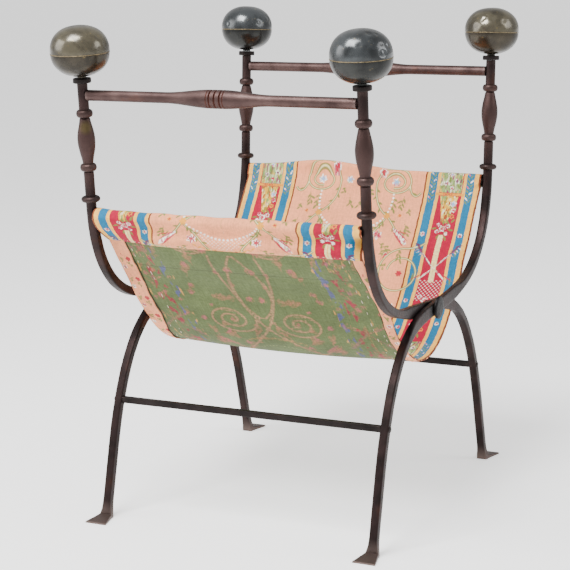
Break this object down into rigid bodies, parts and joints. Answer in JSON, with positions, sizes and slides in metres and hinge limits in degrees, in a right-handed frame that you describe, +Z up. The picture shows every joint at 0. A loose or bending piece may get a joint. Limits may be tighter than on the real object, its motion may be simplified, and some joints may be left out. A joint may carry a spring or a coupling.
{
  "type": "faldstool",
  "caption": "Folding iron X-frame armchair with ball finials on turned posts, turned armrest rails and a brocade sling seat hung between hidden rods.",
  "frame": {"origin": "on the floor, at the middle of the four feet", "axes": "+Z up, +X along the armrest rails and the crossing axis, +Y from the front posts to the back posts"},
  "size_m": [0.5622, 0.6684, 0.7993],
  "materials": {
    "iron": "forged, dark brown patina, satin",
    "bronze": "dark olive patina, rubbed glossy",
    "brass": "worn bright along the edge",
    "cloth": "woven brocade, matt"
  },
  "bodies": {
    "back_half": {"back_left_frame_bar": "iron", "back_left_knob_collar": "iron", "back_left_knob_lower_shell": "bronze", "back_left_knob_seam_ring": "brass", "back_left_knob_upper_shell": "bronze", "back_left_knob_washer": "iron", "back_right_frame_bar": "iron", "back_right_knob_collar": "iron", "back_right_knob_lower_shell": "bronze", "back_right_knob_seam_ring": "brass", "back_right_knob_upper_shell": "bronze", "back_right_knob_washer": "iron", "back_armrest_rail": "iron", "back_seat_rod": "iron", "front_stretcher": "iron", "left_crossing_rivet": "iron", "left_rivet_washer": "iron", "right_crossing_rivet": "iron", "right_rivet_washer": "iron", "seat_sling": "cloth"},
    "front_half": {"front_left_frame_bar": "iron", "front_left_knob_collar": "iron", "front_left_knob_lower_shell": "bronze", "front_left_knob_seam_ring": "brass", "front_left_knob_upper_shell": "bronze", "front_left_knob_washer": "iron", "front_right_frame_bar": "iron", "front_right_knob_collar": "iron", "front_right_knob_lower_shell": "bronze", "front_right_knob_seam_ring": "brass", "front_right_knob_upper_shell": "bronze", "front_right_knob_washer": "iron", "front_armrest_rail": "iron", "front_seat_rod": "iron", "back_stretcher": "iron"}
  },
  "joints": [
    {"name": "fold", "type": "hinge", "parent": "back_half", "child": "front_half", "pos_m": [0, 0, 0.334], "axis": [-1, 0, 0], "range_deg": [0, 56], "deforming": ["seat_sling"]}
  ]
}
